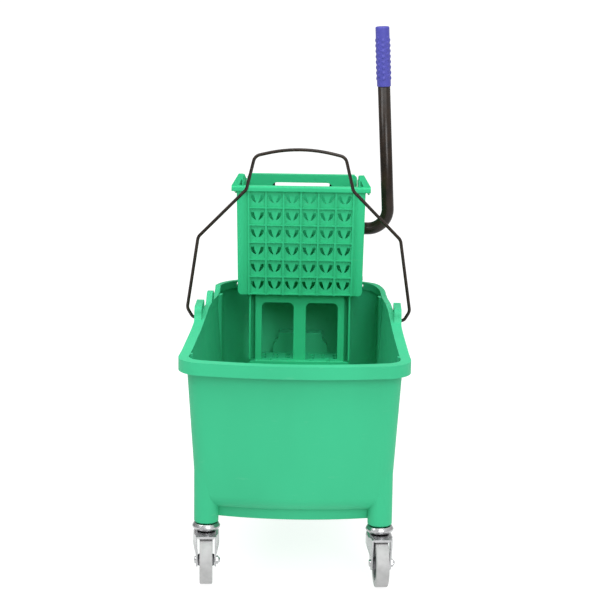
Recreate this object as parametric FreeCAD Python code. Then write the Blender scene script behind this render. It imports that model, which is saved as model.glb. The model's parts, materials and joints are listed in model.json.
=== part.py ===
import FreeCAD, Part
import math
import os

# Mop bucket with a side-press wringer, in millimetres.
# +Z is up, +X is the lever side, -Y is the front. Z = 0 is the floor.
# The origin is on the floor, midway between the foremost and rearmost points.

V = FreeCAD.Vector
X_AXIS = V(1, 0, 0)
Y_AXIS = V(0, 1, 0)
Z_AXIS = V(0, 0, 1)
SIDES = {"left": -1, "right": 1}

# ---- bucket ----
FLOOR_Z = 119.0          # underside of the tub floor
REAR_TOP_Z = 394.0       # top of the rear rim
FRONT_TOP_Z = 367.0      # top of the front rim
RIM_LINE = [(-340, FRONT_TOP_Z), (-213, FRONT_TOP_Z + 0.5), (-95, 375), (10, 390), (60, 390.5)]
RIM_BENDS = [0, 300, 260, 160, 120]
RIM_DIP = [(130, 385), (168, 385)]       # low stretch of both side rims, ahead of the rear corners
DIP_BENDS = [90, 24]
WALL = 3.2               # moulded wall thickness
CORNER_FRONT = 30.0      # corner radius in plan, front
CORNER_REAR = 64.0       # corner radius in plan, rear
LOW_OUTLINE = {"front_half": 156.0, "rear_half": 128.0, "front": -247.0, "rear": 213.0, "bow": 20.0}
HIGH_OUTLINE = {"front_half": 169.0, "rear_half": 141.5, "front": -273.0, "rear": 229.0, "bow": 23.0}
HIGH_Z = 347.0           # level at which HIGH_OUTLINE holds
REAR_BOW = 7.0           # outward bow of the rear wall
BASE_ROUND = 28.0        # outer rounding between floor and walls
LIP_OUT = 14.0           # overhang of the front lip
LIP_TALL = 20.0          # height of the front lip
REAR_LIP_OUT = 6.0
REAR_LIP_TALL = 13.0
LIP_SKIN = 3.6
EAR_Y = -7.0             # bail pivot station
EAR_TOP_Z = 401.0
EAR_FRONT = -42.0        # top front corner of the bail ear
EAR_REAR = 26.0          # top rear corner of the bail ear
EAR_OUT_X = 172.0
EAR_THICK = 12.0
EAR_LOW_Z = 354.0
PIVOT_Z = 376.0
SKIRT_Z = 103.0          # underside of the base skirt
SKIRT_INSET = 17.0
BOSS_Y = 203.0           # inward face of the rear boss
REST_PAD = (80.0, 120.0, 2.0)            # half width, half length and depth of the pad under the floor
REST_PAD_CORNER = 12.0

# ---- legs and casters ----
LEG_R = 19.5
LEG_Z = 95.0
LEG_CHAMFER = 2.0
LEG_DOME_Z = 182.0
LEGS = {
    "front_left": (-138.0, -237.0, 3.5),
    "front_right": (138.0, -237.0, 5.5),
    "rear_left": (-122.0, 190.0, -6.0),
    "rear_right": (122.0, 190.0, 4.0),
}                        # x, y, swivel angle in degrees
SOCKET_R = 7.0
SOCKET_TOP = 132.0
STEM_R = 4.6
WHEEL_R = 38.1
TREAD = 20.2
TRAIL = 24.0
FORK_TOP_Z = 81.0        # top of the fork crown
FORK_FRONT = 39.5        # reach of the crown ahead of the swivel axis
FORK_LIP = 4.4           # depth of the turned-down front lip
FORK_HALF = 20.8
FORK_LOW_HALF = 16.0
FORK_PLATE = 2.5
HUB_HALF = 13.1
RACE_R = 22.3            # greatest radius of the raceway cup
AXLE_R = 4.0
BALL_R = 2.7
BALL_Z = 86.45
BALL_TRACK_R = 14.3

# ---- bail ----
BAIL_R = 2.75
BAIL_FIT = 0.08          # radial clearance of the wire in the ears
BAIL_END_X = 161.0       # where the wire ends stop, inside the ears

# ---- wringer ----
GRILLE_Y = 108.0         # front of the grille ribs
RIB = 2.8                # width of the upright ribs
CROSS_RIB = 2.2          # height of the level ribs
GRILLE_LIP = (573.5, 583.0)              # levels of the lip along the top
GRILLE_LIP_HALF = 119.6
LIP_Z = 580.0
WING_Z = 392.0           # lowest edge of the grille
COLUMNS = 6
ROWS = 6
PITCH_X_TOP = 30.2
PITCH_X_LOW = 29.5
PITCH_Z = 30.2
FIRST_RIB_Z = 545.0
WING_HALF_TOP = 111.0
WING_HALF_LOW = 107.5
FRAME_IN = 98.0          # inner face of the side frames
FRAME_WALL = 2.2
COVER_X = 105.7          # joint face between side frame and side cover
COVER_OUT = 108.2
FRAME_FRONT = 116.0
FRAME_REAR = 310.0
FRAME_LOW = 398.0
ROOF_Z = 603.0
ROOF_REAR = (228.0, 574.0)               # where the sloping roof flattens
TAIL_TOP = 568.0
EAVE_X = 119.5           # outer edge of the flared eaves
EAVE_Z = 579.5
EAVE_LONG = 112.0
EAVE_DROP = 28.0         # fall of the eave towards the rear
BASKET_X = 88.0          # outer face of the lower basket walls
BASKET_FLOOR_Z = 265.7
BASKET_REAR = 196.0
PANEL_Y = 123.0
PANEL_HALF = 77.5
PANEL_TOP = 397.5
PANEL_DEEP = 16.0        # how far back the panel returns on its sides
SHELF_FRONT = 114.0      # front edge of the drain shelf
SHELF_TOP = 273.8
NIB_TOPS = {20: 275.2, 50: 277.4}        # place across the shelf: height
WINDOW_NEAR = 10.5       # drain window's inner and outer edges, either side of the middle
WINDOW_FAR = 66.5
WINDOW_TOP = 376.0
HANGER_BACK_Y = 262.0
HANGER_TOP_Z = 474.4
HOOK_HALF = 76.0

# ---- press drive ----
SHAFT_Y = 238.0
SHAFT_Z = 490.0
SHAFT_R = 8.95
FIT = 0.05               # radial running clearance
BUSH_R = 14.0
BUSH_COLLAR_R = 17.0
MODULE = 3.0
GEAR_TEETH = 30
PITCH_R = MODULE * GEAR_TEETH / 2.0
PRESSURE = math.radians(20.0)
BACKLASH = 0.35
LEVER_TURN = 70.0        # degrees from upright to fully pulled
TRAVEL = PITCH_R * math.radians(LEVER_TURN)
GEAR_X = 100.9
GEAR_WIDE = 4.0
PLATE_Y = 195.0          # front face of the press plate at rest
PLATE_HALF = 96.5
PLATE_LOW = 404.0
PLATE_TOP = 591.0
SLOT_HALF = 54.0         # hand slot
SLOT_LOW = 556.0
SLOT_HIGH = 577.0
COLLAR_DEEP = 16.0       # depth of the collar round the hand slot
RACK_Z = SHAFT_Z + PITCH_R

SPRING_R = 14.0
SPRING_WIRE_R = 1.5

# ---- lever ----
TUBE_R = 11.0
TUBE_BORE = 9.0
TUBE_START_X = 70.0
TUBE_FOOT_X = 154.5
TUBE_TOP = V(136.0, SHAFT_Y, 846.0)
TUBE_BEND = 35.0
GRIP_R = 13.4
GRIP_LONG = 105.0


# ---------------------------------------------------------------- helpers
def box(x0, y0, z0, x1, y1, z1):
    return Part.makeBox(x1 - x0, y1 - y0, z1 - z0, V(x0, y0, z0))


def rod(radius, start, end):
    run = end - start
    return Part.makeCylinder(radius, run.Length, start, run)


def ring(outer, inner, start, end):
    return rod(outer, start, end).cut(rod(inner, start, end))


def join(shapes):
    first = shapes[0]
    return first.multiFuse(shapes[1:]).removeSplitter() if len(shapes) > 1 else first


def solids(shapes):
    return Part.makeCompound(shapes)


def polygon(points):
    return Part.Wire(Part.makePolygon(points + [points[0]]).Edges)


def rounded(points, radii, closed=True):
    """A wire through the points, each corner replaced by a tangent arc of its radius."""
    count = len(points)
    edges = []
    last = None
    first = None
    for i in range(count):
        here = points[i]
        radius = radii[i]
        if radius <= 0 or (not closed and i in (0, count - 1)):
            start = end = here
            arc = None
        else:
            before = (points[i - 1] - here).normalize()
            after = (points[(i + 1) % count] - here).normalize()
            half = before.getAngle(after) / 2.0
            reach = radius / math.tan(half)
            start = here + before * reach
            end = here + after * reach
            middle = (before + after).normalize()
            crown = here + middle * (radius / math.sin(half) - radius)
            arc = Part.Arc(start, crown, end).toShape()
        if last is not None and (start - last).Length > 1e-6:
            edges.append(Part.LineSegment(last, start).toShape())
        if arc is not None:
            edges.append(arc)
        if first is None:
            first = start
        last = end
    if closed and (first - last).Length > 1e-6:
        edges.append(Part.LineSegment(last, first).toShape())
    return Part.Wire(edges)


def prism(wire, run, holes=()):
    face = Part.makeFace([wire] + list(holes), "Part::FaceMakerBullseye")
    return face.extrude(run)


def pipe(wire, radius):
    start = wire.Edges[0]
    tangent = start.tangentAt(start.FirstParameter)
    circle = Part.Wire(Part.makeCircle(radius, start.valueAt(start.FirstParameter), tangent))
    return wire.makePipeShell([circle], True, False)


def mirrored(shape):
    return shape.mirror(V(0, 0, 0), X_AXIS)


def on_side(shape, sign):
    """Shapes are drawn on the +X side; the left one is their mirror image."""
    return shape if sign > 0 else mirrored(shape)


def chamfered(shape, size, pick):
    edges = [edge for edge in shape.Edges if pick(edge)]
    return shape.makeChamfer(size, edges)


def is_circle(edge):
    """True for a full circle, which has one vertex."""
    return len(edge.Vertexes) == 1


def filleted(shape, size, pick):
    edges = [edge for edge in shape.Edges if pick(edge)]
    return shape.makeFillet(size, edges)


def save(name, shape):
    if not shape.isValid():
        print("INVALID", name)
    for solid in shape.Solids:
        if not solid.isClosed():
            print("OPEN", name)
    print("%-28s solids %2d  volume %10.0f" % (name, len(shape.Solids), shape.Volume))
    shape.exportStep("parts/%s.step" % name)


# ---------------------------------------------------------------- bucket
def outline_at(z, grow):
    """Plan sizes of the tub at a level, grown outwards by a distance."""
    t = (z - FLOOR_Z) / (HIGH_Z - FLOOR_Z)
    size = {key: LOW_OUTLINE[key] + t * (HIGH_OUTLINE[key] - LOW_OUTLINE[key]) for key in LOW_OUTLINE}
    size["front_half"] += grow
    size["rear_half"] += grow
    size["front"] -= grow
    size["rear"] += grow
    return size


def outline_wire(z, size):
    front_left = V(-size["front_half"], size["front"], z)
    front_right = V(size["front_half"], size["front"], z)
    rear_right = V(size["rear_half"], size["rear"], z)
    rear_left = V(-size["rear_half"], size["rear"], z)
    front_crown = V(0, size["front"] - size["bow"], z)
    rear_crown = V(0, size["rear"] + REAR_BOW, z)
    return Part.Wire([
        Part.Arc(front_left, front_crown, front_right).toShape(),
        Part.LineSegment(front_right, rear_right).toShape(),
        Part.Arc(rear_right, rear_crown, rear_left).toShape(),
        Part.LineSegment(rear_left, front_left).toShape(),
    ])


def tub_block(z0, z1, grow, upright=False):
    """A solid block of the tub's plan shape between two levels, with rounded corners."""
    low = outline_at(HIGH_Z if upright else z0, grow)
    high = outline_at(HIGH_Z if upright else z1, grow)
    block = Part.makeLoft([outline_wire(z0, low), outline_wire(z1, high)], True, True)
    corners = [edge for edge in block.Edges if abs(edge.Vertexes[0].Z - edge.Vertexes[-1].Z) > 1.0]
    front = [edge for edge in corners if edge.CenterOfMass.y < 0]
    rear = [edge for edge in corners if edge.CenterOfMass.y > 0]
    return block.makeFillet(CORNER_FRONT + grow, front).makeFillet(CORNER_REAR + grow, rear)


def rim_profile(drop):
    """The rim's side view as a slab, lowered by a distance. The two sides differ at the rear."""
    halves = []
    for sign in SIDES.values():
        points = RIM_LINE + RIM_DIP
        radii = RIM_BENDS + DIP_BENDS
        if sign > 0:
            points = points + [(212, REAR_TOP_Z)]
            radii = radii + [60]
        else:
            points = points + [(174, REAR_TOP_Z)]
            radii = radii + [4]
        points = points + [(300, REAR_TOP_Z)]
        corners = [V(0, y, z - drop) for y, z in points] + [V(0, 300, 0), V(0, -340, 0)]
        wire = rounded(corners, radii + [0, 0, 0])
        halves.append(prism(wire, V(sign * 250, 0, 0)))
    return halves[0].fuse(halves[1])


def lip(out, tall, y0, y1):
    """An overhanging rim: a top flange and a hanging skirt, between two stations."""
    whole = tub_block(320, 430, out, True).cut(tub_block(318, 432, -WALL + 0.4, True))
    hollow = tub_block(318, 432, out - LIP_SKIN, True).cut(tub_block(316, 434, -0.2, True))
    strip = rim_profile(0).cut(rim_profile(tall))
    pocket = rim_profile(LIP_SKIN + 0.6)
    window = box(-220, y0, 300, 220, y1, 440)
    return whole.common(strip).cut(hollow.common(pocket)).common(window)


def bail_ear(sign):
    """Thick lug that carries the bail pivot. Its front edge sweeps down into the rim."""
    side = rounded(
        [V(0, -100, EAR_LOW_Z), V(0, -100, 374.5), V(0, EAR_FRONT - 6, 381), V(0, EAR_FRONT, EAR_TOP_Z),
         V(0, EAR_REAR, EAR_TOP_Z), V(0, EAR_REAR + 5, 386), V(0, EAR_REAR + 5, EAR_LOW_Z)],
        [0, 0, 14, 11, 11, 0, 0])
    plan = rounded(
        [V(154, -100, 300), V(170.4, -100, 300), V(EAR_OUT_X, EAR_FRONT - 3, 300),
         V(EAR_OUT_X, EAR_REAR + 5, 300), V(EAR_OUT_X - EAR_THICK, EAR_REAR + 5, 300),
         V(EAR_OUT_X - EAR_THICK, EAR_FRONT - 10, 300)],
        [0, 0, 40, 2.5, 2.5, 20])
    lug = prism(side, V(200, 0, 0)).common(prism(plan, V(0, 0, 140)))
    return on_side(lug, sign)


def rear_boss(inset, depth):
    """Bottle-shaped boss on the rear wall: a wide body, shoulders and a neck."""
    body = 48.5 - inset
    neck = 39.0 - inset
    wire = rounded(
        [V(-body, 0, FLOOR_Z), V(body, 0, FLOOR_Z), V(body, 0, 283 - inset), V(neck, 0, 291 - inset),
         V(neck, 0, 304 - inset), V(-neck, 0, 304 - inset), V(-neck, 0, 291 - inset),
         V(-body, 0, 283 - inset)],
        [0, 0, 13, 5, 3, 3, 5, 13])
    boss = prism(wire, V(0, depth, 0))
    boss.translate(V(0, BOSS_Y, 0))
    return boss


def leg(x, y):
    column = rod(LEG_R, V(x, y, LEG_Z), V(x, y, LEG_DOME_Z))
    column = chamfered(column, LEG_CHAMFER, lambda edge: edge.CenterOfMass.z < LEG_Z + 0.1 and is_circle(edge))
    return column.fuse(Part.makeSphere(LEG_R, V(x, y, LEG_DOME_Z)))


def guide_post(sign):
    """An upright inside rib ahead of the rear corner."""
    plan = rounded(
        [V(152, 132, FLOOR_Z), V(138, 147, FLOOR_Z), V(136, 159, FLOOR_Z), V(152, 168, FLOOR_Z)],
        [0, 5, 4, 0])
    post = prism(plan, V(0, 0, 320)).common(rim_profile(2))
    return on_side(post, sign) if sign > 0 else mirrored(post).common(rim_profile(2))


def rim_hook():
    """A round-topped finger that stands on the left rim."""
    side = rounded(
        [V(0, 30, 380), V(0, 44, 391), V(0, 60, 406), V(0, 78, 406), V(0, 79, 380)],
        [0, 8, 7, 7, 0])
    plan = [V(149.6, 30, 300), V(159.5, 30, 300), V(157.0, 79, 300), V(147.2, 79, 300)]
    finger = prism(side, V(200, 0, 0)).common(prism(polygon(plan), V(0, 0, 140)))
    return mirrored(finger)


def corner_nib(sign):
    """Small upright nib inside the front corner, where the lip's inner edge steps."""
    nib = rod(3.2, V(163.0, -232, 340), V(163.0, -232, FRONT_TOP_Z + 0.4))
    return on_side(nib, sign)


def rest_pad():
    """Flat pad under the tub floor, for standing the bucket on a bearer."""
    half, long, depth = REST_PAD
    z = FLOOR_Z - depth
    corners = [V(-half, -long, z), V(half, -long, z), V(half, long, z), V(-half, long, z)]
    outline = rounded(corners, [REST_PAD_CORNER] * 4)
    return prism(outline, V(0, 0, depth + WALL / 2.0))


def bucket_shell():
    outer = tub_block(FLOOR_Z, 430, 0)
    outer = filleted(outer, BASE_ROUND, lambda edge: edge.CenterOfMass.z < FLOOR_Z + 0.1)
    inner = tub_block(FLOOR_Z + WALL, 440, -WALL)
    inner = filleted(inner, BASE_ROUND - WALL, lambda edge: edge.CenterOfMass.z < FLOOR_Z + WALL + 0.1)
    skirt = tub_block(SKIRT_Z, FLOOR_Z + 6, -SKIRT_INSET)
    skirt = skirt.cut(tub_block(SKIRT_Z - 1, FLOOR_Z + 1, -SKIRT_INSET - WALL))
    below_rim = rim_profile(0)
    walls = outer.common(below_rim)
    pieces = [skirt, rest_pad()]
    for x, y, _ in LEGS.values():
        pieces.append(leg(x, y))
    shell = walls.multiFuse(pieces).cut(inner)
    inside = inner.common(below_rim)
    boss = rear_boss(0, 60).common(inside)
    posts = [guide_post(sign).common(tub_block(FLOOR_Z, 430, -1.0)) for sign in SIDES.values()]
    nibs = [corner_nib(sign).common(tub_block(FLOOR_Z, 430, -1.0)) for sign in SIDES.values()]
    ears = [bail_ear(sign).cut(inner) for sign in SIDES.values()]
    rims = [lip(LIP_OUT, LIP_TALL, -400, EAR_Y), lip(REAR_LIP_OUT, REAR_LIP_TALL, EAR_Y, 400)]
    caps = [rod(SOCKET_R + WALL, V(x, y, FLOOR_Z), V(x, y, SOCKET_TOP + WALL)) for x, y, _ in LEGS.values()]
    shell = shell.multiFuse([boss, rim_hook()] + posts + nibs + ears + rims + caps)
    shell = shell.cut(rear_boss(WALL, 80).cut(box(-100, BOSS_Y - 1, 0, 100, BOSS_Y + WALL, 500)))
    for sign in SIDES.values():
        start = V(sign * (BAIL_END_X - 2), EAR_Y, PIVOT_Z)
        shell = shell.cut(rod(BAIL_R + BAIL_FIT, start, V(sign * 190, EAR_Y, PIVOT_Z)))
    for x, y, _ in LEGS.values():
        shell = shell.cut(rod(SOCKET_R, V(x, y, LEG_Z - 1), V(x, y, SOCKET_TOP)))
    return shell.removeSplitter()


# ---------------------------------------------------------------- bail
def bail_wire():
    points = [V(-BAIL_END_X, 0, PIVOT_Z), V(-177, 0, PIVOT_Z), V(-186.5, 0, 392), V(-168.5, 0, 513),
              V(-88.5, 0, 594), V(-75, 0, 650), V(0, 0, 668)]
    radii = [0, 8, 14, 14, 12, 14]
    points += [V(-point.x, 0, point.z) for point in reversed(points[:-1])]
    radii = radii + [240] + list(reversed(radii))
    wire = rounded(points, radii, False)
    wire.translate(V(0, EAR_Y, 0))
    return pipe(wire, BAIL_R)


# ---------------------------------------------------------------- casters
def place_caster(shape, leg_name):
    x, y, turn = LEGS[leg_name]
    placed = shape.copy()
    placed.rotate(V(0, 0, 0), Z_AXIS, turn)
    placed.translate(V(x, y, 0))
    return placed


def caster_socket():
    """A steel sleeve pressed into the leg, with a bore for the stem."""
    sleeve = rod(SOCKET_R - 0.02, V(0, 0, LEG_Z + 0.5), V(0, 0, SOCKET_TOP - 1))
    return sleeve.cut(rod(STEM_R + 0.05, V(0, 0, LEG_Z - 2), V(0, 0, SOCKET_TOP - 4)))


def caster_stem():
    """Stem with the upper raceway cup, and the washer and peened head that hold the fork."""
    seat = LEG_Z - 1.4
    points = [V(0, 0, SOCKET_TOP - 5), V(STEM_R - 1, 0, SOCKET_TOP - 5), V(STEM_R, 0, SOCKET_TOP - 6),
              V(STEM_R, 0, seat), V(19.4, 0, seat), V(RACE_R, 0, 89), V(RACE_R, 0, 86.6),
              V(21.3, 0, 85.4), V(20.8, 0, 85.4), V(20.8, 0, 89.2), V(9, 0, 89.2), V(9, 0, 76), V(0, 0, 76)]
    wire = rounded(points, [0, 0, 0, 0, 1.6, 1.4, 0.8, 0.3, 0, 0.6, 0.8, 0, 0])
    cup = Part.Face(wire).revolve(V(0, 0, 0), Z_AXIS, 360)
    washer = rod(11.0, V(0, 0, 75.6), V(0, 0, 78.2))
    peened_head = rod(6.0, V(0, 0, 73.9), V(0, 0, 75.6))
    return join([cup, washer, peened_head])


def fork_section(inset):
    """Front view of the fork: an arched yoke whose cheeks lean in towards the axle."""
    top = FORK_TOP_Z - inset
    wide = FORK_HALF - inset
    low = FORK_LOW_HALF - inset
    points = [V(-low, -80, 10), V(-low, -80, 47), V(-wide, -80, 60), V(-wide, -80, top),
              V(wide, -80, top), V(wide, -80, 60), V(low, -80, 47), V(low, -80, 10)]
    corner = 7.5 - inset
    return prism(rounded(points, [0, 14, 16, corner, corner, 16, 14, 0]), V(0, 160, 0))


def fork_plan(inset, front):
    """Plan of the fork: round behind the swivel axis, narrowing forwards to the wheel."""
    nose = 15.6 - inset
    waist = 16.2 - inset
    wide = FORK_HALF - inset
    points = [V(-nose, -front, 0), V(-waist, -30, 0), V(-wide, -9, 0), V(-wide, 12, 0),
              V(-14 + inset / 2.0, wide, 0), V(14 - inset / 2.0, wide, 0), V(wide, 12, 0),
              V(wide, -9, 0), V(waist, -30, 0), V(nose, -front, 0)]
    return prism(rounded(points, [0, 20, 16, 8, 8, 8, 8, 16, 20, 0]), V(0, 0, FORK_TOP_Z + 1))


def caster_fork():
    side = rounded(
        [V(-40, 22, FORK_TOP_Z + 1), V(-40, -FORK_FRONT, FORK_TOP_Z + 1), V(-40, -FORK_FRONT, 70),
         V(-40, -TRAIL - 9, WHEEL_R - 3), V(-40, -TRAIL - 4, WHEEL_R - 11), V(-40, -TRAIL + 6, WHEEL_R - 11),
         V(-40, 4, 52), V(-40, 22, 64)],
        [0, 0, 20, 7, 6, 6, 20, 6])
    yoke = fork_section(0).common(fork_plan(0, 60)).common(prism(side, V(80, 0, 0)))
    yoke = yoke.cut(fork_section(FORK_PLATE).common(fork_plan(FORK_PLATE, 70)))
    lip_low = FORK_TOP_Z - FORK_LIP
    front_lip = box(-12, -FORK_FRONT, lip_low, 12, -FORK_FRONT + 2.2, FORK_TOP_Z - 1)
    front_lip = filleted(front_lip, 0.9, lambda edge: edge.CenterOfMass.z < lip_low + 0.1
                         and abs(edge.CenterOfMass.x) < 1)
    bowl_wire = rounded(
        [V(9.6, 0, FORK_TOP_Z - FORK_PLATE), V(14.4, 0, FORK_TOP_Z - FORK_PLATE), V(14.4, 0, FORK_TOP_Z),
         V(18.8, 0, FORK_TOP_Z + 1.6), V(20.3, 0, FORK_TOP_Z + 4.0), V(20.3, 0, BALL_Z - 1.1),
         V(9.6, 0, BALL_Z - 1.1)],
        [0, 0, 0, 4, 3, 0.4, 0])
    bowl = Part.Face(bowl_wire).revolve(V(0, 0, 0), Z_AXIS, 360)
    groove = Part.makeTorus(BALL_TRACK_R, BALL_R + 0.35, V(0, 0, BALL_Z), Z_AXIS)
    fork = join([yoke, front_lip, bowl.cut(groove)])
    fork = fork.cut(rod(9.6, V(0, 0, 70), V(0, 0, 90)))
    return fork.cut(rod(AXLE_R + 0.05, V(-30, -TRAIL, WHEEL_R), V(30, -TRAIL, WHEEL_R)))


def caster_balls():
    count = 14
    balls = []
    for i in range(count):
        angle = 2 * math.pi * i / count
        place = V(BALL_TRACK_R * math.cos(angle), BALL_TRACK_R * math.sin(angle), BALL_Z)
        balls.append(Part.makeSphere(BALL_R, place))
    return solids(balls)


def turned_on_axle(points, radii):
    """A solid of revolution about the wheel axle. Points are (along the axle, radius)."""
    wire = rounded([V(a, -TRAIL, WHEEL_R + r) for a, r in points], radii)
    return Part.Face(wire).revolve(V(0, -TRAIL, WHEEL_R), X_AXIS, 360)


def caster_tyre():
    half = TREAD / 2.0
    return turned_on_axle(
        [(-half, 27.5), (-half, WHEEL_R), (half, WHEEL_R), (half, 27.5)], [0, 1.8, 1.8, 0])


def caster_hub():
    half = TREAD / 2.0
    return turned_on_axle(
        [(-HUB_HALF, AXLE_R + 0.05), (-HUB_HALF, 9), (-4, 11), (-4, 22.5), (-half + 1.2, 24.5),
         (-half + 1.2, 27.5), (half - 1.2, 27.5), (half - 1.2, 24.5), (4, 22.5), (4, 11),
         (HUB_HALF, 9), (HUB_HALF, AXLE_R + 0.05)],
        [0, 1, 2, 2, 0, 0, 0, 0, 2, 2, 1, 0])


def caster_bolt():
    outer = FORK_LOW_HALF + 2.9
    shank = rod(AXLE_R, V(-FORK_LOW_HALF, -TRAIL, WHEEL_R), V(FORK_LOW_HALF + 4.2, -TRAIL, WHEEL_R))
    head = rod(5.8, V(-outer, -TRAIL, WHEEL_R), V(-FORK_LOW_HALF, -TRAIL, WHEEL_R))
    head = filleted(head, 2.0, lambda edge: edge.CenterOfMass.x < -outer + 0.1 and is_circle(edge))
    return join([head, shank])


def caster_nut():
    """Hexagon nut with a domed cap."""
    corners = []
    for i in range(6):
        angle = math.radians(60 * i)
        corners.append(V(FORK_LOW_HALF, -TRAIL + 6.6 * math.cos(angle), WHEEL_R + 6.6 * math.sin(angle)))
    body = prism(polygon(corners), V(3.2, 0, 0))
    dome = Part.makeSphere(5.4, V(FORK_LOW_HALF + 1.4, -TRAIL, WHEEL_R))
    dome = dome.common(box(FORK_LOW_HALF + 1, -60, 0, FORK_LOW_HALF + 6.2, 20, 80))
    nut = join([body, dome])
    return nut.cut(rod(AXLE_R, V(0, -TRAIL, WHEEL_R), V(FORK_LOW_HALF + 4.2, -TRAIL, WHEEL_R)))


# ---------------------------------------------------------------- wringer, fixed pieces
def column_x(line, z):
    """Place of a vertical rib line, counted from the middle; the grid narrows downwards."""
    t = (z - WING_Z) / (LIP_Z - WING_Z)
    return line * (PITCH_X_LOW + t * (PITCH_X_TOP - PITCH_X_LOW))


def curved_slot(cx, cz, side, y):
    """One half of a cell's drain: a tapering curved slot with a flat top and a rounded tip."""
    def at(x, z):
        return V(cx + side * x, y, cz + z)

    return Part.Wire([
        Part.Arc(at(11.2, 7), at(9.8, -0.4), at(3, -6.9)).toShape(),
        Part.Arc(at(3, -6.9), at(2.1, -6.4), at(2.2, -5.2)).toShape(),
        Part.Arc(at(2.2, -5.2), at(4.1, -0.35), at(6.1, 7)).toShape(),
        Part.LineSegment(at(6.1, 7), at(11.2, 7)).toShape(),
    ])


def grille_wing(sign):
    """The plain border beside the cells, bowed forwards in plan."""
    edge = WING_HALF_TOP
    plan = rounded(
        [V(91, GRILLE_Y + 8, WING_Z), V(91, GRILLE_Y + 5, WING_Z), V(104, GRILLE_Y + 0.6, WING_Z),
         V(edge, GRILLE_Y + 6, WING_Z), V(edge, GRILLE_Y + 8, WING_Z)],
        [0, 1, 14, 2, 0])
    return on_side(prism(plan, V(0, 0, LIP_Z - WING_Z)), sign)


def grille_ear(sign):
    """Upright end plate of the lip, with a triangular hole."""
    plate = rounded(
        [V(99.5, GRILLE_Y, 578), V(99.5, GRILLE_Y, ROOF_Z + 0.5), V(107.5, GRILLE_Y, ROOF_Z + 0.5),
         V(GRILLE_LIP_HALF, GRILLE_Y, 583), V(117, GRILLE_Y, 578), V(110.5, GRILLE_Y, 572)],
        [0, 1.5, 1.5, 1.5, 1, 0])
    triangle = [V(101.2, GRILLE_Y, 597), V(101.2, GRILLE_Y, 584), V(106.8, GRILLE_Y, 584)]
    hole = rounded(triangle, [0.8] * 3)
    return on_side(prism(plate, V(0, 4, 0), [hole]), sign)


def wringer_front_grille():
    back = GRILLE_Y + 8.0
    skin_y = GRILLE_Y + 3.5
    outline = rounded(
        [V(-WING_HALF_TOP, skin_y, LIP_Z), V(-WING_HALF_LOW, skin_y, WING_Z),
         V(WING_HALF_LOW, skin_y, WING_Z), V(WING_HALF_TOP, skin_y, LIP_Z)],
        [0, 7, 7, 0])
    slots = []
    for row in range(ROWS):
        middle = FIRST_RIB_Z + PITCH_Z / 2.0 - row * PITCH_Z
        for column in range(COLUMNS):
            cx = column_x(column - (COLUMNS - 1) / 2.0, middle)
            slots.append(curved_slot(cx, middle, -1, skin_y))
            slots.append(curved_slot(cx, middle, 1, skin_y))
    plate = prism(outline, V(0, back - skin_y, 0), slots)
    border = prism(outline, V(0, back - skin_y, 0))
    border = border.fuse(border.translated(V(0, skin_y - back, 0)))
    wings = [grille_wing(sign).common(border) for sign in SIDES.values()]
    ribs = []
    for line in range(-COLUMNS // 2, COLUMNS // 2 + 1):
        low = column_x(line, WING_Z)
        high = column_x(line, LIP_Z)
        half = RIB / 2.0
        ribs.append(prism(polygon([
            V(low - half, GRILLE_Y, WING_Z), V(low + half, GRILLE_Y, WING_Z),
            V(high + half, GRILLE_Y, LIP_Z), V(high - half, GRILLE_Y, LIP_Z)]), V(0, 4, 0)))
    for row in range(ROWS):
        z = FIRST_RIB_Z - row * PITCH_Z
        reach = column_x(COLUMNS / 2.0, z)
        low = max(z - CROSS_RIB / 2.0, WING_Z)
        ribs.append(box(-reach, GRILLE_Y, low, reach, GRILLE_Y + 4, z + CROSS_RIB / 2.0))
    lip_low, lip_high = GRILLE_LIP
    flange = box(-GRILLE_LIP_HALF, GRILLE_Y - 3, lip_low, GRILLE_LIP_HALF, back, lip_high)
    flange = filleted(flange, 3.4, lambda edge: edge.CenterOfMass.y < GRILLE_Y - 2.9
                      and edge.CenterOfMass.z > lip_high - 0.1)
    flange = filleted(flange, 1.4, lambda edge: edge.CenterOfMass.y < GRILLE_Y - 2.9
                      and edge.CenterOfMass.z < lip_low + 0.1)
    ears = [grille_ear(sign) for sign in SIDES.values()]
    return join([plate, flange] + wings + ears + ribs)


def frame_profile(inset):
    """Side view of the side frames: upright front, sloped tail."""
    i = inset
    return rounded(
        [V(0, FRAME_FRONT + i, FRAME_LOW + i), V(0, FRAME_FRONT + i, ROOF_Z - i),
         V(0, ROOF_REAR[0], ROOF_REAR[1] - i), V(0, FRAME_REAR - i, TAIL_TOP - i),
         V(0, FRAME_REAR - i, 452), V(0, 268, FRAME_LOW + i)],
        [0, 3, 60, 14, 24, 14])


def frame_slab(x0, x1, inset):
    slab = prism(frame_profile(inset), V(x1 - x0, 0, 0))
    slab.translate(V(x0, 0, 0))
    return slab


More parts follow.
